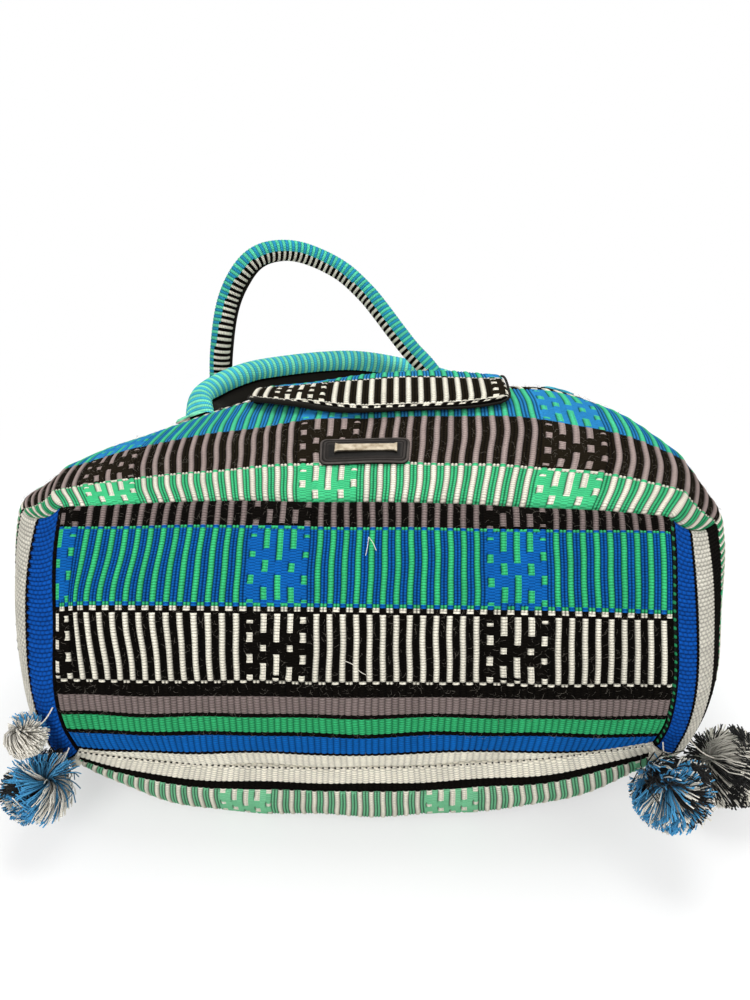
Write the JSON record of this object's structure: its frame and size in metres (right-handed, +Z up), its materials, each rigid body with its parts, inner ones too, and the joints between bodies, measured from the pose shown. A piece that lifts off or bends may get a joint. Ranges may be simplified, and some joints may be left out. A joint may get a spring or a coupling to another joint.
{
  "type": "tote bag",
  "caption": "Large handwoven striped cloth tote, filled out and lying on its back panel, with rolled handles, a closing flap and thread pompoms.",
  "frame": {"origin": "middle of the flat patch of the back panel's underside that the bag lies on", "axes": "+Z up, away from what it lies on, through the front panel; +Y from the base panel to the mouth; +X along the bag's width"},
  "size_m": [0.64, 0.5332, 0.3792],
  "materials": {
    "front_cloth": "matte",
    "back_cloth": "matte",
    "base_cloth": "matte",
    "gusset_cloth": "matte",
    "lining_cloth": "matte",
    "flap_cloth": "matte",
    "black_cord": "matte",
    "champagne_metal": "satin",
    "black_leather": "satin",
    "handle_cloth": "matte",
    "blue_thread": "matte",
    "mixed_thread": "matte",
    "pale_thread": "matte"
  },
  "bodies": {
    "root": {"front_panel": "front_cloth", "back_panel": "back_cloth", "base_panel": "base_cloth", "gusset_left": "gusset_cloth", "gusset_right": "gusset_cloth", "lining": "lining_cloth", "flap": "flap_cloth", "flap_piping": "black_cord", "snap_socket": "champagne_metal", "snap_stud": "champagne_metal", "label_leather": "black_leather", "label_bar": "champagne_metal", "handle_front": "handle_cloth", "handle_back": "handle_cloth", "pompom_left_big": "blue_thread", "pompom_left_small": "blue_thread", "pompom_right_inner": "blue_thread", "pompom_right_outer": "mixed_thread", "pompom_tie_left_big": "pale_thread", "pompom_tie_left_small": "pale_thread", "pompom_tie_right_inner": "pale_thread", "pompom_tie_right_outer": "pale_thread"}
  },
  "joints": []
}
